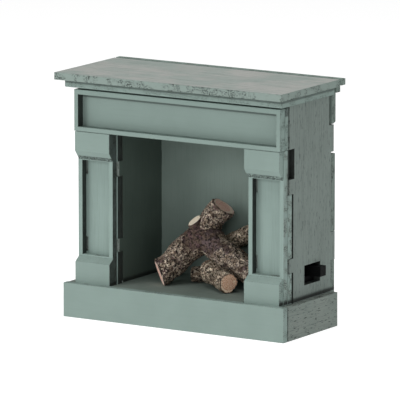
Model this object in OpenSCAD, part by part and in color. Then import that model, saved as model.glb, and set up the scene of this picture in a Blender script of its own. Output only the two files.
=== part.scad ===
// Miniature fireplace mantel with a twig log pile, a lamp under the logs and a side switch.
// Cut from flat board with finger joints. The origin is on the ground, under the middle of the
// whole piece: +X is to the right of someone facing the fire, +Y is towards the back, +Z is up.

/* [Overall] */
// Width of the shelf
shelf_w = 116; // [114:1:120]
// Depth from the front of the shelf to the back of the back board
depth = 53.4; // [52:0.2:56]
// Height to the top of the shelf
height = 109.3; // [109:0.1:112]
// Thickness of the board that everything is cut from
board = 3.2; // [3:0.1:3.2]
// Thickness of the cornice board
cornice_t = 3.7; // [3.2:0.1:4]
// Gap left by the cutter at each joint
kerf = 0.2; // [0.1:0.05:0.3]

/* [Body] */
// Width across the two side panels
body_w = 106.2; // [105:0.2:107]
// How far the shelf stands out in front of the cornice
shelf_reach = 4.6; // [4:0.1:5]
// Width of the cornice board
cornice_w = 110.8; // [109:0.2:112]
// Width of the frieze frame
frieze_w = 105.4; // [104:0.2:106]
// Height of the underside of the frieze
frieze_z = 82.8; // [82:0.2:84]

/* [Pilasters] */
// Inner edge of each pilaster frame, from the middle
pilaster_in = 34.9; // [34.6:0.1:35]
// Width of the upright members of a pilaster frame
stile = 2; // [1.6:0.1:2.4]
// Width of the capital and base blocks
block_w = 17.8; // [17:0.1:18]
// Height of the base blocks
base_z = 26.9; // [26:0.1:27]
// Height of the underside of the capitals
capital_z = 69.9; // [69.5:0.1:70.5]

/* [Plinth and firebox] */
// Height of the plinth and of the hearth
plinth_h = 15.2; // [15:0.1:16]
// Width of the plinth
plinth_w = 113.2; // [113:0.1:114]
// Half the width of the firebox
fire_half = 34.3; // [34:0.1:34.5]
// Height of the firebox roof
fire_top = 83; // [83:0.1:84]

/* [Switch] */
// Length of the cut-out for the switch
cutout_l = 13.3; // [13:0.1:14]
// Height of the cut-out for the switch
cutout_h = 8.7; // [8:0.1:9]
// How far the switch lever slides
switch_travel = 5; // [3:0.5:5]

/* [Battery] */
// Diameter of the coin cell
cell_d = 20; // [20]
// Thickness of the coin cell
cell_t = 3.2; // [3.2]

/* [Hidden] */

$fn = 48;
eps = 0.01;

// Planes from the front of the object to its back
front_y = -depth / 2;
back_y = depth / 2;
plinth_y = front_y + shelf_reach;
trim_y = plinth_y + board;
frame_y = trim_y + board;
panel_y = frame_y + board;
box_y = panel_y + board;
wall_y = back_y - board;

// Levels from the top down
shelf_z = height - board;
cornice_z = shelf_z - cornice_t;
frieze_top = cornice_z - 1.2;
hearth_z = plinth_h - board;

// Half widths
body_half = body_w / 2;
side_in = body_half - board;
plinth_half = plinth_w / 2;

// Heights of the finger joints
front_tabs = [[28.5, 34.7], [63, 69.6]];
rear_tab_low = [28.8, 41.3];
rear_tab_high = [76.8, 88.6];
cheek_tabs = [[29.5, 35.2], [63, 69.6]];
ear_z = 88.8;
ear_out = 0.2;
rear_gap = 1.4;

// Colours
sage = [0.56, 0.64, 0.60];
sage_dull = [0.46, 0.51, 0.49];
bark = [0.36, 0.31, 0.26];
black = [0.08, 0.08, 0.08];
tin = [0.75, 0.75, 0.72];

// Board standing across the object, cut from an outline in X and Z
module across(y, t = board) {
    translate([0, y + t, 0]) rotate([90, 0, 0]) linear_extrude(t) children();
}

// Board running from front to back, cut from an outline in Y and Z
module along(x, t = board) {
    translate([x, 0, 0]) rotate([90, 0, 90]) linear_extrude(t) children();
}

// Block between two opposite corners
module block(low, high) {
    translate(low) cube(high - low);
}

// Rectangle between two opposite corners
module area(low, high) {
    translate(low) square(high - low);
}

// Rectangle of a given half width between two heights
module band(half, low, high) {
    area([-half, low], [half, high]);
}

// Round bar from one point to another
module bar(from, to, r) {
    d = to - from;
    tilt = acos(d[2] / norm(d));
    translate(from) rotate([0, tilt, atan2(d[1], d[0])]) cylinder(h = norm(d), r = r);
}

// The same piece on the left of the object
module to_left() {
    mirror([1, 0, 0]) children();
}

// ---- Top ----

module mantel_shelf() {
    color(sage)
        block([-shelf_w / 2, front_y, shelf_z], [shelf_w / 2, wall_y - rear_gap, height]);
}

cornice_round = 0.8;

module cornice_board() {
    y = plinth_y;
    color(sage) along(-cornice_w / 2, cornice_w) {
        area([y + cornice_round, cornice_z], [wall_y - rear_gap, shelf_z]);
        area([y, cornice_z + cornice_round], [y + cornice_round + eps, shelf_z]);
        intersection() {
            translate([y + cornice_round, cornice_z + cornice_round]) circle(cornice_round);
            area([y, cornice_z], [y + cornice_round + eps, cornice_z + cornice_round + eps]);
        }
    }
}

// ---- Frieze ----

frieze_rail = 1.9;
frieze_top_rail = 2.1;
// How much thicker than the board the frieze frame is
frieze_extra = 0.8;

module frieze_frame() {
    half = frieze_w / 2;
    color(sage) across(trim_y, board + frieze_extra) difference() {
        band(half, frieze_z, frieze_top);
        band(half - frieze_rail, frieze_z + frieze_rail, frieze_top - frieze_top_rail);
    }
}

module frieze_panel() {
    color(sage) across(frame_y + frieze_extra, board - frieze_extra)
        band(frieze_w / 2 + kerf, frieze_z, frieze_top);
}

// ---- Pilasters ----

block_in = pilaster_in - 0.3;
capital_top = frieze_z - kerf;
chamfer_h = 4.1;
base_chamfer_h = 2.3;
window_low = 27.5;
window_high = 69.6;

module capital() {
    color(sage) along(block_in, block_w)
        polygon([[trim_y, capital_top], [frame_y, capital_top],
                 [frame_y, capital_z], [trim_y, capital_z + chamfer_h]]);
}

module base_block() {
    color(sage) along(block_in, block_w)
        polygon([[trim_y, 0], [frame_y, 0], [frame_y, base_z], [trim_y, base_z - base_chamfer_h]]);
}

module pilaster_frame() {
    color(sage) across(frame_y) difference() {
        area([pilaster_in, 0], [frieze_w / 2, capital_top]);
        area([pilaster_in + stile, window_low], [frieze_w / 2 - stile, window_high]);
    }
}

// ---- Box ----

finger_half = body_half - kerf;
short_finger = body_half - 1.6;

// Slots in the front board and the back board for the tabs of a firebox cheek
module cheek_slots(tabs) {
    for (side = [-1, 1], tab = tabs)
        translate([side * (fire_half + board / 2), (tab[0] + tab[1]) / 2])
            square([board + kerf, tab[1] - tab[0] + kerf], center = true);
}

module front_board() {
    low = front_tabs[0];
    high = front_tabs[1];
    color(sage) across(panel_y) difference() {
        union() {
            band(side_in - kerf, 0, cornice_z);
            band(finger_half, 0, low[0] - kerf);
            band(finger_half, low[1] + kerf, high[0] - kerf);
            band(short_finger, high[1] + kerf, frieze_z);
        }
        band(fire_half, hearth_z, fire_top);
        cheek_slots(cheek_tabs);
    }
}

// Gaps between a side panel and the ends of the front board
finger_gap = 1;
short_finger_gap = 1.8;
seam = 0.9;
// Rear edge of a side panel beside the ears of the back board
ear_edge = wall_y - 1.8;
tab_short = 1.1;

module side_outline() {
    area([box_y + short_finger_gap, 0], [ear_edge, cornice_z]);
    area([box_y + finger_gap, 0], [box_y + short_finger_gap + eps, front_tabs[1][1]]);
    area([panel_y + seam, frieze_z], [box_y + short_finger_gap + eps, cornice_z]);
    area([ear_edge - eps, 0], [wall_y - kerf, ear_z]);
    for (tab = front_tabs)
        area([panel_y + seam, tab[0]], [box_y + finger_gap + eps, tab[1]]);
    area([ear_edge, rear_tab_low[0]], [back_y, rear_tab_low[1]]);
    area([ear_edge, rear_tab_high[0]], [back_y - tab_short, rear_tab_high[1]]);
}

cutout_low = [1, 21.3];

module side_panel_left() {
    color(sage_dull) to_left() along(side_in) side_outline();
}

module side_panel_right() {
    color(sage_dull) along(side_in) difference() {
        side_outline();
        area(cutout_low, cutout_low + [cutout_l, cutout_h]);
    }
}

// Half width of the back board in each stretch of its height
ear_half = body_half + ear_out;
back_bands = [
    [finger_half, 0, rear_tab_low[0] - kerf],
    [side_in - kerf, rear_tab_low[0] - kerf, rear_tab_low[1] + kerf],
    [body_half, rear_tab_low[1] + kerf, rear_tab_high[0] - 1],
    [side_in - kerf, rear_tab_high[0] - 1, ear_z],
    [ear_half, ear_z + 1, cornice_z + 0.7],
    [cornice_w / 2 + ear_out, cornice_z + 0.7, shelf_z + 0.4],
    [shelf_w / 2 + ear_out, shelf_z + 0.4, height]
];

module back_board() {
    color(sage_dull) across(wall_y) difference() {
        union() {
            for (b = back_bands) band(b[0], b[1], b[2]);
            polygon([[-ear_half + 1, ear_z], [ear_half - 1, ear_z],
                     [ear_half, ear_z + 1], [-ear_half, ear_z + 1]]);
        }
        cheek_slots(cheek_tabs);
        area(drawer_low - [slot_gap, slot_gap], drawer_high + [slot_gap, slot_gap]);
    }
}

// How far the tabs of the cheeks stop short of the face of the front board
cheek_tab_set = 1.3;

module firebox_cheek() {
    color(sage) along(fire_half) {
        area([box_y + seam, plinth_h], [wall_y, fire_top]);
        for (tab = cheek_tabs)
            area([panel_y + cheek_tab_set, tab[0]], [back_y - kerf, tab[1]]);
    }
}

module firebox_ceiling() {
    half = fire_half + board;
    color(sage) block([-half, box_y, fire_top], [half, wall_y, fire_top + board]);
}

// ---- Foot ----

lamp_at = [-3, 19];
lamp_hole_r = 2.6;
lead_hole_at = [40.6, 14];
lead_hole_r = 2.4;

module hearth_board() {
    tongue = fire_half - 0.6;
    half = side_in - kerf;
    color(sage) difference() {
        union() {
            block([-half, box_y, hearth_z], [half, wall_y, plinth_h]);
            block([-tongue, trim_y, hearth_z], [tongue, box_y + eps, plinth_h]);
        }
        translate([lamp_at[0], lamp_at[1], 0]) cylinder(h = height, r = lamp_hole_r);
        translate([lead_hole_at[0], lead_hole_at[1], 0]) cylinder(h = height, r = lead_hole_r);
    }
}

module base_board() {
    half = side_in - kerf;
    color(sage_dull) block([-half, box_y, 0], [half, wall_y, board]);
}

module plinth_front() {
    color(sage) block([-plinth_half, plinth_y, 0], [plinth_half, trim_y, plinth_h]);
}

// Open joint between the plinth's front and its sides
plinth_seam = 0.7;

module plinth_side() {
    color(sage_dull)
        block([plinth_half - board, trim_y + plinth_seam, 0], [plinth_half, wall_y - kerf, plinth_h - kerf]);
}

// ---- Logs ----

lean_low = [-17.8, -3.6, 19.9];
lean_bend = [-5, 11.2, 36.2];
lean_top = [6, 12.2, 50.1];
lean_knot = [-9.5, 9.5, 40.6];

module log_leaning() {
    color(bark) {
        bar(lean_low, lean_bend, 6.0);
        translate(lean_bend) sphere(6.3);
        bar(lean_bend, lean_top, 5.3);
        bar(lean_bend, lean_knot, 3.4);
    }
}

module log_right() {
    color(bark) bar([5.6, 7.4, 32.7], [28.6, 3.9, 20.2], 5.2);
}

module log_front() {
    color(bark) bar([18.9, -5.8, 19.5], [2.1, 4.8, 20.9], 4.1);
}

module log_back() {
    color(bark) bar([4.4, 18.4, 32.4], [29, 18.4, 44], 4.4);
}

module log_under() {
    color(bark) bar([-9, 8, 18.7], [8, 15, 18.7], 3.4);
}

// ---- Lamp ----

lamp_r = 2.5;
lamp_flange_r = 2.9;
lamp_top = 19.6;
leg_pitch = 2.54;
leg_low = 7;

module lamp() {
    color([0.95, 0.75, 0.35]) translate([lamp_at[0], lamp_at[1], 0]) {
        translate([0, 0, hearth_z - 1]) cylinder(h = 1, r = lamp_flange_r);
        translate([0, 0, hearth_z - eps]) cylinder(h = lamp_top - lamp_r - hearth_z, r = lamp_r);
        translate([0, 0, lamp_top - lamp_r]) sphere(lamp_r);
    }
}

module lamp_legs() {
    color(tin) for (side = [-1, 1])
        translate([lamp_at[0] + side * leg_pitch / 2, lamp_at[1], leg_low])
            cylinder(h = hearth_z - 1 - leg_low, r = 0.3);
}

// ---- Switch ----

// Middle of the lever at rest, in Y and Z
lever_at = [11.3, 26.3];
lever = [4.6, 4.4];
lever_end_x = 56.5;
slider_half = 3.75;
play = 0.3;
housing_low = [43.2, -1.5, 19.4];
housing_high = [side_in, 17.2, 32];
chamber_low_x = 45;
chamber_high_x = side_in - 1.5;
chamber_half_z = 3.5;
pin_r = 0.6;
pin_end_x = 41.2;
wiper_t = 0.3;
wiper_half_z = 1.5;
// Middle of the slider's travel
slide_mid = lever_at[0] - switch_travel / 2;

module switch_housing() {
    chamber_half = slider_half + switch_travel / 2 + play;
    slot_half = lever[0] / 2 + switch_travel / 2 + play;
    color(black) difference() {
        block(housing_low, housing_high);
        block([chamber_low_x, slide_mid - chamber_half, lever_at[1] - chamber_half_z],
              [chamber_high_x, slide_mid + chamber_half, lever_at[1] + chamber_half_z]);
        block([chamber_low_x, slide_mid - slot_half, lever_at[1] - lever[1] / 2 - play],
              [side_in + 1, slide_mid + slot_half, lever_at[1] + lever[1] / 2 + play]);
        for (y = [-1, 0, 1])
            translate([pin_end_x, slide_mid + y * switch_travel, lever_at[1]])
                rotate([0, 90, 0]) cylinder(h = chamber_low_x - pin_end_x + eps, r = pin_r);
    }
}

module switch_slider() {
    low_x = chamber_low_x + play + 2 * wiper_t;
    half_z = chamber_half_z - play;
    color(black) {
        block([low_x, lever_at[0] - slider_half, lever_at[1] - half_z],
              [chamber_high_x - play, lever_at[0] + slider_half, lever_at[1] + half_z]);
        block([low_x, lever_at[0] - lever[0] / 2, lever_at[1] - lever[1] / 2],
              [lever_end_x, lever_at[0] + lever[0] / 2, lever_at[1] + lever[1] / 2]);
    }
}

module switch_wiper() {
    low_x = chamber_low_x + play + wiper_t;
    color(tin) block([low_x, lever_at[0] - slider_half + play, lever_at[1] - wiper_half_z],
                     [low_x + wiper_t, lever_at[0] + slider_half - play, lever_at[1] + wiper_half_z]);
}

module switch_terminals() {
    color(tin) for (y = [-1, 0, 1])
        translate([pin_end_x, slide_mid + y * switch_travel, lever_at[1]])
            rotate([0, 90, 0]) cylinder(h = chamber_low_x - pin_end_x, r = pin_r);
}

// ---- Battery ----

slot_gap = 0.4;
// Face of the drawer, in X and Z
drawer_low = [40.5, 41.9];
drawer_high = [47.5, 64.1];
tray_x = [41.2, 45.2];
tray_y = 0.8;
cell_at = [11.8, 53];
bay_x = [40.6, 47.4];
bay_z = [42, 64];
holder_wall = 1.6;
strip_t = 0.25;
strip_z = [48, 58];
// Solder tab at the end of each contact strip
tab_z = [52, 54];
tab_end_y = -3;
strip_end_y = 20;
contact_r = 1.5;
holder_y = -1;
bay_y = 0.4;
tray_gap = 0.4;
cell_gap = 0.15;
cell_window_r = 6;
// Groove in the face of the drawer for a fingernail
nail_r = 1.8;
nail_inset = 0.6;
far = 60;

module battery_holder() {
    color(black) difference() {
        block([bay_x[0] - holder_wall, holder_y, bay_z[0] - holder_wall],
              [bay_x[1] + holder_wall, wall_y, bay_z[1] + holder_wall]);
        block([bay_x[0], bay_y, bay_z[0]], [bay_x[1], wall_y + 1, bay_z[1]]);
        for (x = [bay_x[0], bay_x[1] - strip_t])
            block([x, holder_y - 1, tab_z[0]], [x + strip_t, bay_y + eps, tab_z[1]]);
    }
}

module battery_drawer() {
    color(black) difference() {
        union() {
            block([tray_x[0], tray_y, bay_z[0] + tray_gap],
                  [tray_x[1], wall_y + eps, bay_z[1] - tray_gap]);
            block([drawer_low[0], wall_y, drawer_low[1]], [drawer_high[0], back_y, drawer_high[1]]);
        }
        translate([tray_x[1] - cell_t, cell_at[0], cell_at[1]]) rotate([0, 90, 0])
            cylinder(h = far, r = cell_d / 2 + cell_gap);
        translate([0, cell_at[0], cell_at[1]]) rotate([0, 90, 0])
            cylinder(h = far, r = cell_window_r);
        translate([0, back_y + nail_inset, cell_at[1]]) rotate([0, 90, 0])
            cylinder(h = far, r = nail_r);
    }
}

module coin_cell() {
    color(tin) translate([tray_x[1] - cell_t, cell_at[0], cell_at[1]]) rotate([0, 90, 0])
        cylinder(h = cell_t, r = cell_d / 2);
}

module contact_positive() {
    color(tin) {
        block([bay_x[1] - strip_t, bay_y, strip_z[0]], [bay_x[1], strip_end_y, strip_z[1]]);
        block([bay_x[1] - strip_t, tab_end_y, tab_z[0]], [bay_x[1], bay_y + eps, tab_z[1]]);
        translate([tray_x[1] + play, cell_at[0], cell_at[1]]) rotate([0, 90, 0])
            cylinder(h = bay_x[1] - tray_x[1] - play, r = contact_r);
    }
}

module contact_negative() {
    color(tin) {
        block([bay_x[0], bay_y, strip_z[0]], [bay_x[0] + strip_t, strip_end_y, strip_z[1]]);
        block([bay_x[0], tab_end_y, tab_z[0]], [bay_x[0] + strip_t, bay_y + eps, tab_z[1]]);
    }
}

// ---- Leads ----

lead_r = 0.6;

supply_route = [
    [47.3, -3.6, 53], [47.3, -5.5, 50], [47.3, -5.5, 37], [42, -5, 34.5],
    [40.6, 1, 33], [40.6, 8.8, 31.5], [40.6, 8.8, 26.3]
];
lamp_route = [
    [40.6, 13.8, 26.3], [39.6, 15, 22], [40.6, 15, 17], [40.6, 15, 9.4],
    [37, 15, 8], [4, 16.5, 7], [-1.73, 17.4, 6.2], [-1.73, 19, 6.4]
];
return_route = [
    [40.7, -3.6, 53], [40.7, -6.5, 50], [40.7, -6.5, 17.5], [40.7, -4.5, 16.4], [40.7, 12, 16.4],
    [40.7, 13, 15], [40.7, 13, 8], [38, 14, 6.5], [0, 22.3, 6], [-4.27, 20.6, 5.9], [-4.27, 19, 6.4]
];

lead_sides = 8;
lead_steps = 5;

function unit(v) = v / norm(v);

// Point at t, from 0 to 1, on the smooth curve from b to c, with a and d as its neighbours
function curve_at(a, b, c, d, t) =
    b + t / 2 * (c - a) + t * t * (a - 2.5 * b + 2 * c - d / 2) + t * t * t * (3 * b - a - 3 * c + d) / 2;

// The route's corners rounded into one smooth line
function smooth(route) = [
    for (i = [0 : len(route) - 2], k = [0 : lead_steps - 1])
        curve_at(route[max(i - 1, 0)], route[i], route[i + 1],
                 route[min(i + 2, len(route) - 1)], k / lead_steps),
    route[len(route) - 1]
];

function heading(line, i) = unit(line[min(i + 1, len(line) - 1)] - line[max(i - 1, 0)]);

// A direction square to the line, carried along it so that the tube doesn't twist
function square_to(u, h) = unit(u - (u * h) * h);
function side_at(line, i) =
    i == 0 ? square_to([0.36, 0.48, 0.8], heading(line, 0))
           : square_to(side_at(line, i - 1), heading(line, i));

function ring(line, i) =
    let (h = heading(line, i), u = side_at(line, i), v = cross(h, u))
    [for (k = [0 : lead_sides - 1])
        line[i] + lead_r * (cos(360 * k / lead_sides) * u + sin(360 * k / lead_sides) * v)];

module lead(route, tint) {
    line = smooth(route);
    last = len(line) - 1;
    n = lead_sides;
    points = [for (i = [0 : last]) each ring(line, i)];
    walls = [for (i = [0 : last - 1], k = [0 : n - 1])
        [i * n + k, (i + 1) * n + k, (i + 1) * n + (k + 1) % n, i * n + (k + 1) % n]];
    start = [for (k = [0 : n - 1]) k];
    finish = [for (k = [n - 1 : -1 : 0]) last * n + k];
    color(tint) polyhedron(points, concat([start], walls, [finish]));
}

module lead_supply() {
    lead(supply_route, [0.6, 0.1, 0.1]);
}

module lead_lamp() {
    lead(lamp_route, [0.85, 0.85, 0.82]);
}

module lead_return() {
    lead(return_route, [0.1, 0.1, 0.1]);
}

mantel_shelf();
cornice_board();
frieze_frame();
frieze_panel();
to_left() capital();  // capital_left
capital();  // capital_right
to_left() pilaster_frame();  // pilaster_frame_left
pilaster_frame();  // pilaster_frame_right
to_left() base_block();  // base_block_left
base_block();  // base_block_right
front_board();
side_panel_left();
side_panel_right();
back_board();
to_left() firebox_cheek();  // firebox_cheek_left
firebox_cheek();  // firebox_cheek_right
firebox_ceiling();
hearth_board();
base_board();
plinth_front();
to_left() plinth_side();  // plinth_side_left
plinth_side();  // plinth_side_right
log_leaning();
log_right();
log_front();
log_back();
log_under();
lamp();
lamp_legs();
switch_housing();
switch_slider();
switch_wiper();
switch_terminals();
battery_holder();
battery_drawer();
coin_cell();
contact_positive();
contact_negative();
lead_supply();
lead_lamp();
lead_return();
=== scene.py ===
"""Looks for a miniature fireplace mantel: painted board, bark logs, switch, light and camera."""
import math

import bmesh
import bpy
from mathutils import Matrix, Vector, noise


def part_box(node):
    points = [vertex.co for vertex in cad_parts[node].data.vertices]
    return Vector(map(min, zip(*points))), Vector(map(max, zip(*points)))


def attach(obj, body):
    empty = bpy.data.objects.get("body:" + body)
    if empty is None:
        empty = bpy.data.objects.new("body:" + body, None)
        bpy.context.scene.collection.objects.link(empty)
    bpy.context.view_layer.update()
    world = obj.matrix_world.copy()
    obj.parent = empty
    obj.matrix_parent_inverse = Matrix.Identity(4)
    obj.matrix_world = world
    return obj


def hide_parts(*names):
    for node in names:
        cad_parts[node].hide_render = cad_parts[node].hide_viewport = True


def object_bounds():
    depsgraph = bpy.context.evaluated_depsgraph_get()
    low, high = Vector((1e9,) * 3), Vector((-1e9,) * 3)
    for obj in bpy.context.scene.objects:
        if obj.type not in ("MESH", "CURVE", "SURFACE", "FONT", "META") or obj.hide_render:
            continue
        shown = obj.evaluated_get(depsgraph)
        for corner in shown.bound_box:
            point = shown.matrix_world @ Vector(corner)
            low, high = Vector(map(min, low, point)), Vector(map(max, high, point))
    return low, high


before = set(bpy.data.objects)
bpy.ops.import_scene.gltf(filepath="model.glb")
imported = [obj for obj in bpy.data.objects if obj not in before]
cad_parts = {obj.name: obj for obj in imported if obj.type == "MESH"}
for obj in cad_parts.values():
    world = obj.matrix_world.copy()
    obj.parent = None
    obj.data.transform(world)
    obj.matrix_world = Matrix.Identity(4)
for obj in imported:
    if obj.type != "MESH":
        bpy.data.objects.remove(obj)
cad_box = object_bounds()
low, high = cad_box
middle = (Vector(low) + Vector(high)) / 2
scene = bpy.context.scene
MM = 0.001
AXES = {"x": 0, "y": 1, "z": 2}


def tint(red, green, blue):
    """A colour given as 0 to 255 screen values, as the linear values that shaders take."""
    linear = []
    for value in (red, green, blue):
        v = value / 255
        linear.append(v / 12.92 if v <= 0.04045 else ((v + 0.055) / 1.055) ** 2.4)
    return (*linear, 1.0)


# ---- Camera, light and floor ----

CAMERA_TURN = math.radians(31.97)
CAMERA_TILT = math.radians(10.25)
CAMERA_DISTANCE = 2.737
CAMERA_LENS = 563.6
SENSOR_WIDTH = 36
CLIP_START = 0.05
AIM_OFFSET = Vector((0.64, -0.36, -0.5)) * MM

# Each light with its turn and height in degrees, distance and size in metres, and power in watts
LIGHTS = {
    "key": (-34, 16, 1.0, 0.5, 3.7),
    "sky": (10, 80, 0.9, 0.7, 5.4),
    "front_fill": (22, 18, 1.1, 0.5, 1.8),
    "side_fill": (100, 20, 1.0, 0.6, 0.9),
}
WORLD_STRENGTH = 0.4
FLOOR_REACH = 3.0
FLOOR_GLOW = 0.7


def direction(turn, tilt):
    """Unit vector from the object towards something at that turn to the right and height."""
    flat = math.cos(tilt)
    return Vector((math.sin(turn) * flat, -math.cos(turn) * flat, math.sin(tilt)))


def look_at(thing, target):
    facing = (Vector(target) - thing.location).to_track_quat("-Z", "Y")
    thing.rotation_euler = facing.to_euler()


def make_camera():
    camera = bpy.data.objects.new("camera", bpy.data.cameras.new("camera"))
    scene.collection.objects.link(camera)
    aim = middle + AIM_OFFSET
    camera.location = aim + direction(CAMERA_TURN, CAMERA_TILT) * CAMERA_DISTANCE
    look_at(camera, aim)
    camera.data.sensor_width = SENSOR_WIDTH
    camera.data.lens = CAMERA_LENS
    camera.data.clip_start = CLIP_START
    scene.camera = camera


def softbox(name, turn, tilt, distance, size, power):
    """A round light that faces the middle of the object."""
    light = bpy.data.objects.new(name, bpy.data.lights.new(name, "AREA"))
    scene.collection.objects.link(light)
    light.location = middle + direction(math.radians(turn), math.radians(tilt)) * distance
    look_at(light, middle)
    light.data.shape = "DISK"
    light.data.size = size
    light.data.energy = power


def make_world(strength):
    world = bpy.data.worlds.new("studio")
    world.use_nodes = True
    background = world.node_tree.nodes["Background"]
    background.inputs["Color"].default_value = (1, 1, 1, 1)
    background.inputs["Strength"].default_value = strength
    scene.world = world


def make_floor():
    mesh = bpy.data.meshes.new("floor")
    floor = bpy.data.objects.new("floor", mesh)
    scene.collection.objects.link(floor)
    far = FLOOR_REACH
    corners = [(-far, -far), (far, -far), (far, far), (-far, far)]
    mesh.from_pydata([(x, y, low[2]) for x, y in corners], [], [(0, 1, 2, 3)])
    paint = Paint("floor")
    speckle = paint.noise(paint.place(), 0.5, 3.0)
    paint.set_surface({
        "Base Color": paint.blend(speckle, tint(186, 186, 186), tint(190, 190, 190)),
        "Roughness": 0.9, "Specular IOR Level": 0.1,
        "Emission Color": tint(255, 255, 255), "Emission Strength": FLOOR_GLOW,
    })
    mesh.materials.append(paint.material)


# ---- Materials ----


class Paint:
    """One procedural material. Each method adds a node and gives back its output socket."""

    def __init__(self, name):
        self.material = bpy.data.materials.new(name)
        self.material.use_nodes = True
        self.tree = self.material.node_tree
        self.shader = self.tree.nodes["Principled BSDF"]

    def plug(self, socket, value):
        if isinstance(value, bpy.types.NodeSocket):
            self.tree.links.new(value, socket)
        else:
            socket.default_value = value

    def node(self, kind, inputs, **settings):
        made = self.tree.nodes.new(kind)
        for key, value in settings.items():
            setattr(made, key, value)
        for key, value in inputs.items():
            self.plug(made.inputs[key], value)
        return made

    def set_surface(self, inputs):
        for key, value in inputs.items():
            self.plug(self.shader.inputs[key], value)

    def place(self):
        """Place on the object in millimetres."""
        source = self.node("ShaderNodeTexCoord", {}).outputs["Object"]
        scaled = self.node("ShaderNodeVectorMath", {0: source, 3: 1000.0}, operation="SCALE")
        return scaled.outputs["Vector"]

    def facing(self):
        """Direction that the surface faces."""
        return self.node("ShaderNodeTexCoord", {}).outputs["Normal"]

    def parts(self, vector):
        split = self.node("ShaderNodeSeparateXYZ", {0: vector})
        return [split.outputs[i] for i in range(3)]

    def math(self, operation, a, b=0.0, c=0.0, clamp=False):
        inputs = {0: a, 1: b, 2: c}
        return self.node("ShaderNodeMath", inputs, operation=operation, use_clamp=clamp).outputs[0]

    def remap(self, value, start, end, to_start=0.0, to_end=1.0):
        inputs = {0: value, 1: start, 2: end, 3: to_start, 4: to_end}
        made = self.node("ShaderNodeMapRange", inputs, interpolation_type="SMOOTHSTEP")
        return made.outputs[0]

    def stretch(self, vector, scale, shift=(0.0, 0.0, 0.0)):
        inputs = {"Vector": vector, "Scale": scale, "Location": shift}
        return self.node("ShaderNodeMapping", inputs).outputs[0]

    def noise(self, vector, scale, detail=3.0, roughness=0.55):
        inputs = {"Vector": vector, "Scale": scale, "Detail": detail, "Roughness": roughness}
        return self.node("ShaderNodeTexNoise", inputs).outputs[0]

    def blend(self, factor, first, second):
        made = self.node("ShaderNodeMix", {}, data_type="RGBA", blend_type="MIX")
        self.plug(made.inputs[0], factor)
        self.plug(made.inputs[6], first)
        self.plug(made.inputs[7], second)
        return made.outputs[2]

    def edges(self, radius):
        """1 along the edges of the shape and 0 on its flats."""
        rounded = self.node("ShaderNodeBevel", {"Radius": radius}, samples=6).outputs[0]
        true = self.node("ShaderNodeNewGeometry", {}).outputs["Normal"]
        dot = self.node("ShaderNodeVectorMath", {0: rounded, 1: true}, operation="DOT_PRODUCT")
        return self.remap(dot.outputs["Value"], 0.995, 0.85)

    def bump(self, height, depth):
        inputs = {"Height": height, "Distance": depth, "Strength": 1.0}
        return self.node("ShaderNodeBump", inputs).outputs[0]


# Dark colour of burnt cut wood, chips and pores, also used for painted shade and painted shadows
BURNT_AND_SHADE = tint(20, 24, 21)
BARE = tint(98, 98, 90)

# Strength of the painted shade facing the fire, the painted foot shadow, and inner cuts' burn and
# painted shade if a look doesn't say
FIRESIDE_SHADE = 0.72
FOOT_SHADOW = 0.9
INNER_BURN_AND_SHADE = 0.9

# Each look: its paint colours, then the strength of the grain streaks, pores, chips on cut edges,
# rubbed arrises and bare wood on cut edges. Some add the colour of their cut edges, how dark their
# inner cuts are painted with burnt wood and painted shade, or painted shade under the board above: a
# node, how many mm below its top the painted shade begins, and how strong it is.
LOOKS = {
    "front": dict(
        base=tint(120, 137, 131), light=tint(124, 141, 135), dark=tint(105, 121, 115),
        streak=0.10, pore=0.0, chip=0.35, rub=0.6, cut=0.0,
    ),
    "cornice": dict(
        base=tint(120, 137, 131), light=tint(124, 141, 135), dark=tint(105, 121, 115),
        streak=0.10, pore=0.0, chip=0.3, rub=0.6, cut=0.0, shade_under=("cornice_board", 1.8, 0.5),
    ),
    "panel": dict(
        base=tint(120, 137, 131), light=tint(124, 141, 135), dark=tint(105, 121, 115),
        streak=0.10, pore=0.0, chip=0.35, rub=0.35, cut=0.0, shade_under=("frieze_frame", 3.7, 0.55),
    ),
    "grained": dict(
        base=tint(124, 142, 136), light=tint(130, 148, 142), dark=tint(106, 122, 116),
        streak=0.35, pore=0.0, chip=0.4, rub=0.35, cut=0.3,
    ),
    "top": dict(
        base=tint(136, 145, 140), light=tint(152, 153, 149), dark=tint(110, 122, 116),
        streak=0.7, pore=0.2, chip=0.45, rub=0.6, cut=0.0, edge=tint(122, 136, 130),
    ),
    "side": dict(
        base=tint(108, 119, 114), light=tint(114, 125, 120), dark=tint(84, 94, 89),
        streak=0.5, pore=0.5, chip=0.6, rub=0.4, cut=0.3,
    ),
    "pitted": dict(
        base=tint(110, 121, 115), light=tint(118, 127, 121), dark=tint(82, 93, 88),
        streak=0.5, pore=0.9, chip=0.7, rub=0.5, cut=0.3,
    ),
    "inner": dict(
        base=tint(112, 127, 120), light=tint(118, 133, 126), dark=tint(98, 112, 106),
        streak=0.3, pore=0.0, chip=0.5, rub=0.15, cut=0.1, burn_and_shade=0.2,
    ),
    # Paint darkened as painted shade for the inside of the firebox; its cut edges get a lighter tint
    "cheek": dict(
        base=tint(70, 83, 76), light=tint(76, 89, 82), dark=tint(58, 70, 64),
        streak=0.3, pore=0.0, chip=0.3, rub=0.0, cut=0.0, edge=tint(134, 144, 138),
    ),
    "hearth": dict(
        base=tint(98, 110, 103), light=tint(108, 119, 112), dark=tint(80, 91, 85),
        streak=0.6, pore=0.2, chip=0.4, rub=0.15, cut=0.3,
    ),
}

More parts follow.
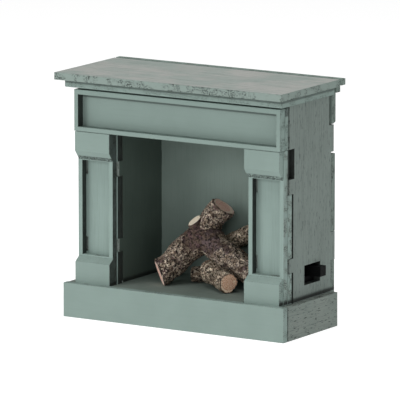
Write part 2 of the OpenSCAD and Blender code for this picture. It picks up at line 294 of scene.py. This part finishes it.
# Each board with the axis it is thin along, the axis its grain runs along, and its look
BOARDS = {
    "mantel_shelf": ("z", "x", "top"),
    "cornice_board": ("z", "x", "cornice"),
    "frieze_frame": ("y", "x", "front"),
    "frieze_panel": ("y", "x", "panel"),
    "capital_left": ("y", "x", "front"),
    "capital_right": ("y", "x", "front"),
    "pilaster_frame_left": ("y", "z", "grained"),
    "pilaster_frame_right": ("y", "z", "grained"),
    "base_block_left": ("y", "x", "front"),
    "base_block_right": ("y", "x", "front"),
    "front_board": ("y", "z", "grained"),
    "side_panel_left": ("x", "z", "side"),
    "side_panel_right": ("x", "z", "side"),
    "back_board": ("y", "z", "inner"),
    "firebox_cheek_left": ("x", "z", "cheek"),
    "firebox_cheek_right": ("x", "z", "cheek"),
    "firebox_ceiling": ("z", "x", "cheek"),
    "hearth_board": ("z", "x", "hearth"),
    "base_board": ("z", "x", "side"),
    "plinth_front": ("y", "x", "front"),
    "plinth_side_left": ("x", "y", "pitted"),
    "plinth_side_right": ("x", "y", "pitted"),
}


THROUGH_SCALE = 0.6
RUBBED_WIDTH = 0.4 * MM
BOARD_RELIEF = 0.06 * MM
BOARD_SOFTENING = 0.16 * MM


def per_axis(along, thin, grain, across):
    """A scale with one value along the grain, one across it and a fixed one through the board."""
    scale = [across] * 3
    scale[grain] = along
    scale[thin] = THROUGH_SCALE
    return tuple(scale)


def inner_cut(paint, node, thin, place):
    """1 on cut edges that lie inside the board's outline: windows, notches and slots."""
    box_low, box_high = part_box(node)
    coordinates = paint.parts(place)
    nearest = None
    for axis in range(3):
        if axis == thin:
            continue
        centre = (box_low[axis] + box_high[axis]) / 2 / MM
        half = (box_high[axis] - box_low[axis]) / 2 / MM
        away = paint.math("ABSOLUTE", paint.math("SUBTRACT", coordinates[axis], centre))
        depth = paint.math("SUBTRACT", half, away)
        nearest = depth if nearest is None else paint.math("MINIMUM", nearest, depth)
    return paint.remap(nearest, 0.5, 0.9)


def painted_foot_shadow(paint, height, inward, grit):
    """A painted contact shadow: a ragged dark line just above the plinth, on surfaces that face left or
    right.
    """
    plinth_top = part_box("plinth_front")[1][2] / MM
    ragged = paint.math("MULTIPLY_ADD", grit, 1.6, height)
    line = paint.remap(ragged, plinth_top + 3.2, plinth_top + 1.7)
    above = paint.math("GREATER_THAN", height, plinth_top)
    sideways = paint.remap(paint.math("ABSOLUTE", inward), 0.5, 0.8)
    return paint.math("MULTIPLY", line, paint.math("MULTIPLY", above, sideways))


def burn_and_shade(paint, node, thin, place, facing, cut, grit, strength):
    """How dark the cut wood is painted: burnt wood and painted shade in windows and notches, painted
    shade on edges that face the fire, and a painted shadow at the foot.
    """
    # Inner cuts get burnt wood and painted shade, left off the ledges that face up
    inner = inner_cut(paint, node, thin, place)
    if thin == AXES["y"]:
        inner = paint.math("MULTIPLY", inner, paint.remap(facing[2], 0.8, 0.4))
    windows = paint.math("MULTIPLY", inner, strength)

    across, _, height = paint.parts(place)
    inward = paint.math("MULTIPLY", paint.math("SIGN", across), facing[0])
    # Painted shade on cut edges that face the fire opening
    fireside_shade = paint.math("MULTIPLY", paint.remap(inward, -0.5, -0.9), FIRESIDE_SHADE)
    mask = paint.math("MULTIPLY", cut, paint.math("MAXIMUM", windows, fireside_shade))
    foot = paint.math("MULTIPLY", painted_foot_shadow(paint, height, inward, grit), FOOT_SHADOW)
    return paint.math("MAXIMUM", mask, foot)


def chamfer_chips(paint, node, place, flat, grit):
    """Where a block's chamfer is, which is painted lighter as a painted highlight, and the dark chips
    along the chamfer's edge nearest the shaft.
    """
    lightened_slope = paint.math("MULTIPLY", paint.remap(flat, 0.9, 0.8), paint.remap(flat, 0.6, 0.65))
    box_low, box_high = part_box(node)
    shaft_end = (box_low if node.startswith("capital") else box_high)[2] / MM
    away = paint.math("ABSOLUTE", paint.math("SUBTRACT", paint.parts(place)[2], shaft_end))
    band = paint.remap(paint.math("MULTIPLY_ADD", grit, 1.5, away), 2.9, 2.3)
    near_shaft = paint.math("MULTIPLY", lightened_slope, band)
    return lightened_slope, paint.math("MULTIPLY", near_shaft, paint.remap(grit, 0.46, 0.5))


def face_paint(paint, look, clouds, streaks, fine):
    """Colour of the painted faces, with streaks along the grain."""
    colour = paint.blend(paint.remap(clouds, 0.35, 0.65), look["base"], look["light"])
    lines = paint.math("MULTIPLY", paint.remap(streaks, 0.45, 0.72), look["streak"])
    colour = paint.blend(lines, colour, look["dark"])
    pale = paint.math("MULTIPLY", paint.remap(fine, 0.55, 0.75), look["streak"] * 0.5)
    return paint.blend(pale, colour, look["light"])


def edge_paint(paint, look, colour, patches, chips):
    """Colour of the cut edges: painted, bare in patches, and chipped."""
    bare = paint.math("MULTIPLY", paint.remap(patches, 0.35, 0.65), look["cut"])
    colour = paint.blend(bare, look.get("edge", colour), BARE)
    return paint.blend(chips, colour, BURNT_AND_SHADE)


def painted_shade_under(paint, shade_under, place, grit):
    """How dark the paint is towards the top of a board, in the shade of the board above."""
    node, depth, strength = shade_under
    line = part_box(node)[1][2] / MM - depth
    ragged = paint.math("MULTIPLY_ADD", grit, 0.8, paint.parts(place)[2])
    return paint.remap(ragged, line + 0.2, line + 0.7, 0.0, strength)


def board_paint(node, thin, grain, look):
    """Chalky paint over cut board: streaks and pores on the faces, scorched specks on the edges, burnt
    wood and painted shade in cuts, and painted highlights on chamfers.
    """
    paint = Paint("paint_" + node)
    shift = (sum(ord(letter) for letter in node) % 97) * 1.7
    place = paint.place()
    moved = paint.stretch(place, (1.0, 1.0, 1.0), (shift, shift, shift))

    streaks = paint.noise(paint.stretch(moved, per_axis(0.05, thin, grain, 1.6)), 1.0, 4.0, 0.6)
    fine = paint.noise(paint.stretch(moved, per_axis(0.22, thin, grain, 4.0)), 1.0, 3.0, 0.6)
    flecks = paint.noise(paint.stretch(moved, per_axis(0.35, thin, grain, 2.6)), 1.0, 2.0, 0.5)
    clouds = paint.noise(moved, 0.06, 3.0, 0.5)
    grit = paint.noise(moved, 2.0, 4.0, 0.7)
    patches = paint.noise(moved, 0.25, 2.0, 0.5)

    colour = face_paint(paint, look, clouds, streaks, fine)
    pores = paint.math("MULTIPLY", paint.remap(flecks, 0.6, 0.68), look["pore"])
    colour = paint.blend(pores, colour, BURNT_AND_SHADE)

    facing = paint.parts(paint.facing())
    flat = paint.math("ABSOLUTE", facing[thin])
    cut = paint.remap(flat, 0.62, 0.5)
    specks = paint.math("MULTIPLY", paint.remap(grit, 0.52, 0.56), paint.remap(patches, 0.43, 0.58))
    chips = paint.math("MULTIPLY", specks, look["chip"] * 1.9, clamp=True)
    colour = paint.blend(cut, colour, edge_paint(paint, look, colour, patches, chips))
    # Painted shade towards the top of the board, under the board above
    if "shade_under" in look:
        colour = paint.blend(painted_shade_under(paint, look["shade_under"], place, grit), colour, BURNT_AND_SHADE)
    # Burnt wood and painted shade in windows and notches, painted shade facing the fire, and a painted
    # shadow at the foot
    strength = look.get("burn_and_shade", INNER_BURN_AND_SHADE)
    burnt_and_shaded = burn_and_shade(paint, node, thin, place, facing, cut, grit, strength)
    colour = paint.blend(burnt_and_shaded, colour, BURNT_AND_SHADE)

    if node.startswith(("capital", "base_block")):
        lightened_slope, jagged = chamfer_chips(paint, node, place, flat, grit)
        # The chamfer gets the lighter tint: a painted highlight
        colour = paint.blend(lightened_slope, colour, look["light"])
        colour = paint.blend(paint.math("MULTIPLY", jagged, 0.9), colour, BURNT_AND_SHADE)

    rubbed = paint.math("MULTIPLY", paint.edges(RUBBED_WIDTH), paint.remap(grit, 0.45, 0.6))
    colour = paint.blend(paint.math("MULTIPLY", rubbed, look["rub"]), colour, BURNT_AND_SHADE)

    relief = paint.math("MULTIPLY_ADD", fine, 0.4, streaks)
    relief = paint.math("MULTIPLY", relief, look["streak"])
    relief = paint.math("SUBTRACT", relief, pores)
    relief = paint.math("SUBTRACT", relief, paint.math("MULTIPLY", chips, cut))
    roughness = paint.remap(clouds, 0.3, 0.7, 0.72, 0.86)
    paint.set_surface({
        "Base Color": colour, "Roughness": roughness, "Specular IOR Level": 0.3,
        "Normal": paint.bump(relief, BOARD_RELIEF),
    })
    return paint.material


def soften(thing, width, segments=2):
    """Rounds the sharp edges of a CAD solid a little."""
    bevel = thing.modifiers.new("soft_edges", "BEVEL")
    bevel.width = width
    bevel.segments = segments
    bevel.limit_method = "ANGLE"
    bevel.angle_limit = math.radians(35)
    bevel.harden_normals = True


def dress(thing, material):
    thing.data.materials.clear()
    thing.data.materials.append(material)


def paint_boards():
    for node, (thin, grain, look) in BOARDS.items():
        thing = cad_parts[node]
        dress(thing, board_paint(node, AXES[thin], AXES[grain], LOOKS[look]))
        soften(thing, BOARD_SOFTENING)


# ---- Plastic, metal and lamp ----


def plastic(name, colour, rough, grain_depth, shine=0.25):
    paint = Paint(name)
    place = paint.place()
    texture = paint.noise(place, 5.0, 2.0)
    scuffs = paint.remap(paint.noise(place, 0.8, 4.0), 0.55, 0.75)
    worn = tuple(min(1.0, value * 1.8 + 0.004) for value in colour[:3]) + (1.0,)
    paint.set_surface({
        "Base Color": paint.blend(paint.math("MULTIPLY", scuffs, 0.5), colour, worn),
        "Roughness": paint.remap(texture, 0.3, 0.7, rough - 0.08, rough + 0.08),
        "Specular IOR Level": shine,
        "Normal": paint.bump(texture, grain_depth),
    })
    return paint.material


def metal(name, colour):
    paint = Paint(name)
    place = paint.place()
    brushed = paint.noise(paint.stretch(place, (1.0, 0.15, 6.0)), 3.0, 3.0)
    paint.set_surface({
        "Base Color": paint.blend(paint.remap(brushed, 0.3, 0.7), colour, tint(150, 148, 140)),
        "Metallic": 1.0,
        "Roughness": paint.remap(brushed, 0.3, 0.7, 0.22, 0.4),
        "Normal": paint.bump(brushed, FINE_GRAIN),
    })
    return paint.material


def amber_lens():
    paint = Paint("lamp_lens")
    haze = paint.noise(paint.place(), 2.0, 2.0)
    paint.set_surface({
        "Base Color": paint.blend(haze, tint(236, 178, 84), tint(246, 206, 130)),
        "Roughness": paint.remap(haze, 0.3, 0.7, 0.06, 0.16),
        "Transmission Weight": 0.7,
        "IOR": 1.5,
    })
    return paint.material


FINE_GRAIN = 0.01 * MM
CASE_GRAIN = 0.02 * MM
LEAD_COLOURS = {
    "lead_supply": tint(150, 30, 26),
    "lead_lamp": tint(214, 212, 206),
    "lead_return": tint(26, 26, 27),
}
CONTACTS = ("lamp_legs", "switch_wiper", "switch_terminals", "contact_positive", "contact_negative")


def dress_fittings():
    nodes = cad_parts
    black = plastic("switch_plastic", tint(9, 10, 10), 0.6, FINE_GRAIN, 0.06)
    for node in ("switch_housing", "switch_slider"):
        dress(nodes[node], black)
        soften(nodes[node], 0.25 * MM, 3)
    case = plastic("battery_plastic", tint(28, 28, 28), 0.5, CASE_GRAIN)
    for node in ("battery_holder", "battery_drawer"):
        dress(nodes[node], case)
        soften(nodes[node], 0.2 * MM)
    tinned = metal("contact_metal", tint(196, 194, 186))
    for node in CONTACTS:
        dress(nodes[node], tinned)
    dress(nodes["coin_cell"], metal("cell_steel", tint(206, 206, 204)))
    soften(nodes["coin_cell"], 0.3 * MM, 3)
    dress(nodes["lamp"], amber_lens())
    for node, colour in LEAD_COLOURS.items():
        dress(nodes[node], plastic(node, colour, 0.45, FINE_GRAIN))


# ---- Logs ----


LOG_AROUND = 112
LOG_STEP = 0.3 * MM
FIRST_SIDE = Vector((0.31, 0.42, 0.85))
TIP_ROUNDING = 0.35 * MM
TIP_REACH = 0.25 * MM
END_RINGS = 14
PITH_OFFSET = 0.5 * MM
BARK_RELIEF = 0.3 * MM
SAWN_RELIEF = 0.04 * MM

# Each twig: the box its path lies in, the node it replaces, its bark and end, its path as shares of
# the box, and its radii in mm. Knots are place along the log, way, size in mm and height in mm, and
# negative heights are hollows. Cuts are the ways the sawn ends face. Bald is a path point, an offset
# in mm and a reach in mm, where the lichen has gone.
TWIGS = {
    "log_leaning_bark": dict(
        box="log_leaning", replaces="log_leaning", bark="bark_leaning", end="painted_bright",
        seed=1, rough=1.0, lichen=1.3, skin=tint(98, 76, 76), radii=(5.5, 6.2, 6.4, 5.4, 4.9),
        path=(
            (0.15, 0.18, 0.12), (0.35, 0.47, 0.33), (0.54, 0.75, 0.545),
            (0.67, 0.79, 0.74), (0.84, 0.8, 0.905),
        ),
        knots=((0.42, (0.6, -0.8, 0.2), 3.4, 1.0), (0.36, (0.2, -0.95, 0.2), 1.5, -1.9)),
        cuts=(Vector((-0.71, -0.63, -0.32)), Vector((0.58, 0.06, 0.81))),
        bald=(2, (0, -6, 0), 6.0),
    ),
    "knot_stub": dict(
        box="log_leaning", bark="bark_knot", end="fresh",
        seed=2, rough=0.7, lichen=0.0, skin=tint(84, 60, 60), radii=(4.0, 3.7, 3.5),
        path=((0.568, 0.766, 0.57), (0.52, 0.704, 0.642), (0.466, 0.632, 0.726)),
    ),
    "log_right_bark": dict(
        box="log_right", replaces="log_right", bark="bark_right", end="sawn",
        seed=3, rough=1.0, lichen=1.2, skin=tint(100, 84, 84), radii=(6.0, 5.4, 4.9),
        path=((-0.14, 0.72, 0.9), (0.38, 0.54, 0.55), (0.93, 0.36, 0.22)),
        knots=((0.55, (0.3, -0.7, 0.6), 2.2, 0.8),),
        bald=(0, (3, -6, 0), 5.5),
    ),
    "log_front_bark": dict(
        box="log_front", replaces="log_front", bark="bark_front", end="sawn",
        seed=4, rough=0.9, lichen=1.1, skin=tint(100, 90, 72), radii=(4.5, 4.4, 4.8),
        path=((0.9, 0.2, 0.46), (0.5, 0.5, 0.6), (0.1, 0.8, 0.74)),
    ),
    "log_back_bark": dict(
        box="log_back", replaces="log_back", bark="bark_back", end="sawn",
        seed=5, rough=0.8, lichen=2.2, skin=tint(128, 116, 92), radii=(3.7, 4.0, 4.0),
        path=((0.07, 0.5, 0.2), (0.5, 0.46, 0.52), (0.93, 0.5, 0.8)),
    ),
    "log_under_bark": dict(
        box="log_under", replaces="log_under", bark="bark_under", end="sawn",
        seed=6, rough=0.8, lichen=1.2, skin=tint(98, 92, 82), radii=(2.9, 3.0, 3.0),
        path=((0.07, 0.24, 0.5), (0.5, 0.5, 0.52), (0.93, 0.76, 0.5)),
    ),
}


def bark(name, seed, lichen, skin, bald):
    """Rough bark: dark cracks, crusts of beige lichen, and purplish skin that may show in one place."""
    paint = Paint(name)
    real_place = paint.place()
    place = paint.stretch(real_place, (1.0, 1.0, 1.0), (seed * 13.0, seed * 7.0, seed * 5.0))
    blotches = paint.noise(place, 0.13, 2.0, 0.5)
    if bald:
        centre, reach = bald
        ends = {0: real_place, 1: centre / MM}
        gap = paint.node("ShaderNodeVectorMath", ends, operation="DISTANCE")
        near = paint.remap(gap.outputs["Value"], reach * 1.3, reach * 0.6)
        blotches = paint.math("MULTIPLY_ADD", near, -0.3, blotches)
    grain = paint.noise(place, 1.2, 7.0, 0.84)
    tone = paint.noise(place, 0.45, 3.0)
    cracks = paint.noise(place, 0.85, 6.0, 0.8)

    colour = paint.blend(paint.remap(tone, 0.4, 0.6), skin, tint(92, 76, 66))
    zone = paint.remap(blotches, 0.6 - lichen * 0.18, 0.68 - lichen * 0.18)
    crusted = paint.math("MULTIPLY", zone, paint.remap(grain, 0.48, 0.52))
    flecks = paint.math("MULTIPLY", paint.remap(grain, 0.58, 0.62), 0.5)
    patch = paint.math("MAXIMUM", crusted, flecks)
    crust_colour = paint.blend(paint.remap(tone, 0.4, 0.6), tint(240, 224, 200), tint(184, 164, 142))
    colour = paint.blend(patch, colour, crust_colour)
    dark = paint.math("MULTIPLY", paint.remap(cracks, 0.485, 0.44), 0.95)
    colour = paint.blend(dark, colour, tint(18, 14, 13))

    relief = paint.math("MULTIPLY_ADD", patch, 0.5, grain)
    relief = paint.math("SUBTRACT", relief, dark)
    paint.set_surface({
        "Base Color": colour,
        "Roughness": paint.remap(blotches, 0.3, 0.7, 0.7, 0.92),
        "Specular IOR Level": 0.25,
        "Normal": paint.bump(relief, BARK_RELIEF),
    })
    return paint.material


def cut_end(name, base, deep, pale):
    """Sawn end grain: year rings, rays and checks round the pith."""
    paint = Paint(name)
    local = paint.node("ShaderNodeAttribute", {}, attribute_name="end_place").outputs["Vector"]
    wobble = paint.noise(local, 1.2, 3.0)
    radius = paint.node("ShaderNodeVectorMath", {0: local}, operation="LENGTH").outputs["Value"]
    wander = paint.math("MULTIPLY", wobble, 5.0)
    rings = paint.math("SINE", paint.math("MULTIPLY_ADD", radius, 7.0, wander))
    parts = paint.parts(local)
    angle = paint.math("ARCTAN2", parts[1], parts[0])
    round_pith = paint.math("MULTIPLY", angle, 5.0)
    outward = paint.math("MULTIPLY", radius, 0.3)
    ray_place = paint.node("ShaderNodeCombineXYZ", {0: round_pith, 1: outward})
    rays = paint.noise(ray_place.outputs[0], 2.2, 3.0)
    colour = paint.blend(paint.remap(rings, -1.0, 1.0, 0.0, 0.7), base, deep)
    colour = paint.blend(paint.remap(rays, 0.53, 0.6), colour, pale)
    colour = paint.blend(paint.remap(rays, 0.36, 0.28, 0.0, 0.6), colour, deep)
    rim = paint.remap(paint.math("MULTIPLY_ADD", wobble, 0.8, radius), 3.9, 4.4)
    colour = paint.blend(paint.math("MULTIPLY", rim, 0.8), colour, pale)
    paint.set_surface({
        "Base Color": colour, "Roughness": 0.82, "Specular IOR Level": 0.2,
        "Normal": paint.bump(paint.math("ADD", rings, rays), SAWN_RELIEF),
    })
    return paint.material


def inside(node, shares):
    """Point inside a node's box, given as shares of its length along each axis."""
    box_low, box_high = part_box(node)
    return Vector([box_low[i] + shares[i] * (box_high[i] - box_low[i]) for i in range(3)])


def spline(points, t):
    """Point on a smooth curve through the points, with t from 0 to 1."""
    last = len(points) - 1
    where = min(t * last, last - 1e-6)
    i = int(where)
    f = where - i
    a = points[max(i - 1, 0)]
    b = points[i]
    c = points[i + 1]
    d = points[min(i + 2, last)]
    bend = (c - a) * f + (a * 2 - b * 5 + c * 4 - d) * f * f + (b * 3 - a - c * 3 + d) * f ** 3
    return b + bend / 2


def level(values, t):
    """Value at t along a list of evenly spaced values, joined by straight lines."""
    last = len(values) - 1
    where = min(t * last, last - 1e-6)
    i = int(where)
    return values[i] + (values[i + 1] - values[i]) * (where - i)


def bark_height(point, seed, rough):
    """How far the bark stands out at a point, in metres."""
    p = point / MM + Vector((seed * 31.0, seed * 17.0, seed * 11.0))
    lumps = noise.noise(p * 0.13) * 1.2
    ridges = (0.5 - abs(noise.noise(p * 0.5))) * 0.8
    grit = noise.fractal(p * 1.5, 0.9, 2.2, 3) * 0.3
    return (lumps + (ridges + grit) * rough) * MM


def knot_height(skin, points, radii, knots):
    """How far the knots push the bark out at a point, in metres."""
    total = 0.0
    for at, way, size, height in knots:
        spot = spline(points, at) + Vector(way).normalized() * level(radii, at)
        total += height * math.exp(-((skin - spot).length / size) ** 2)
    return total


def end_slide(t, out, ahead, radius, cuts):
    """How far a bark point moves along the log so that the sawn ends face the given ways."""
    slide = 0.0
    for normal, amount in ((cuts[0], 1 - t * 3), (cuts[1], t * 3 - 2)):
        if normal is not None and amount > 0:
            slide -= amount * radius * out.dot(normal) / ahead.dot(normal)
    return slide


def join_rings(mesh, rings):
    for ring, following in zip(rings, rings[1:]):
        for k in range(LOG_AROUND):
            n = (k + 1) % LOG_AROUND
            mesh.faces.new((ring[k], ring[n], following[n], following[k]))


def new_object(name, mesh):
    for face in mesh.faces:
        face.smooth = True
    data = bpy.data.meshes.new(name)
    mesh.to_mesh(data)
    mesh.free()
    thing = bpy.data.objects.new(name, data)
    scene.collection.objects.link(thing)
    return thing


def log_mesh(name, points, radii, seed, rough, knots, cuts):
    """A natural twig along a curve: bumpy bark with knots, and sawn ends."""
    length = sum((points[i + 1] - points[i]).length for i in range(len(points) - 1))
    along = max(12, int(length / LOG_STEP))
    mesh = bmesh.new()
    place_layer = mesh.verts.layers.float_vector.new("end_place")
    side = FIRST_SIDE
    rings = []
    frames = []
    for i in range(along + 1):
        t = i / along
        centre = spline(points, t)
        ahead = (spline(points, min(t + 0.02, 1)) - spline(points, max(t - 0.02, 0))).normalized()
        side = (side - ahead * side.dot(ahead)).normalized()
        other = ahead.cross(side)
        frames.append((ahead, side, other))
        ring = []
        for k in range(LOG_AROUND):
            angle = 2 * math.pi * k / LOG_AROUND
            out = side * math.cos(angle) + other * math.sin(angle)
            radius = level(radii, t)
            skin = centre + out * radius
            radius += bark_height(skin, seed, rough) + knot_height(skin, points, radii, knots)
            tip = min(t, 1 - t) * length
            radius -= TIP_ROUNDING * math.exp(-tip / TIP_REACH)
            slide = end_slide(t, out, ahead, radius, cuts)
            ring.append(mesh.verts.new(centre + out * radius + ahead * slide))
        rings.append(ring)
    join_rings(mesh, rings)
    close_end(mesh, rings[0], frames[0], place_layer, True)
    close_end(mesh, rings[-1], frames[-1], place_layer, False)
    return new_object(name, mesh)


def close_end(mesh, ring, frame_at, place_layer, first):
    """Closes a log's end with a sawn face of narrowing rings round an off-centre pith."""
    ahead, side, other = frame_at
    middle_of_end = sum((v.co for v in ring), Vector()) / len(ring)
    pith = middle_of_end + side * PITH_OFFSET
    outer = ring
    for step in range(1, END_RINGS + 1):
        share = 1 - step / END_RINGS
        inner = []
        for v in ring:
            flat = pith + (v.co - pith) * max(share, 0.02)
            rough = noise.noise(flat / MM * 1.5) * 0.06 + noise.noise(flat / MM * 0.4) * 0.08
            made = mesh.verts.new(flat + ahead * rough * MM)
            away = (made.co - pith) / MM
            made[place_layer] = Vector((away.dot(side), away.dot(other), 0.0))
            inner.append(made)
        for k in range(LOG_AROUND):
            n = (k + 1) % LOG_AROUND
            corners = (outer[k], inner[k], inner[n], outer[n])
            face = mesh.faces.new(corners if not first else corners[::-1])
            face.material_index = 1
        outer = inner
    cap = mesh.faces.new(outer[::-1] if first else outer)
    cap.material_index = 1


def make_log(name, twig, ends):
    points = [inside(twig["box"], shares) for shares in twig["path"]]
    radii = [radius * MM for radius in twig["radii"]]
    knots = [(at, way, size * MM, height * MM) for at, way, size, height in twig.get("knots", ())]
    cuts = twig.get("cuts", (None, None))
    thing = log_mesh(name, points, radii, twig["seed"], twig["rough"], knots, cuts)

    bald = None
    if "bald" in twig:
        index, offset, reach = twig["bald"]
        bald = (points[index] + Vector(offset) * MM, reach)
    skin = bark(twig["bark"], twig["seed"], twig["lichen"], twig["skin"], bald)
    thing.data.materials.append(skin)
    thing.data.materials.append(ends[twig["end"]])
    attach(thing, "mantel")
    node = twig.get("replaces")
    if node:
        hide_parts(node)


def make_logs():
    ends = {
        "sawn": cut_end("sawn_end", tint(232, 186, 156), tint(186, 134, 108), tint(252, 232, 206)),
        # Paler, pinker end grain for the leaning log's upper end: a painted highlight on an end that
        # faces away from the lamps
        "painted_bright": cut_end("painted_bright_end", tint(250, 204, 188), tint(232, 170, 150), tint(253, 228, 212)),
        "fresh": cut_end("fresh_cut", tint(255, 240, 216), tint(228, 204, 176), tint(255, 248, 232)),
    }
    for name, twig in TWIGS.items():
        make_log(name, twig, ends)


# ---- Scene ----

scene.view_settings.view_transform = "Standard"
make_camera()
make_world(WORLD_STRENGTH)
make_floor()
for light_name, settings in LIGHTS.items():
    softbox(light_name, *settings)
paint_boards()
dress_fittings()
make_logs()
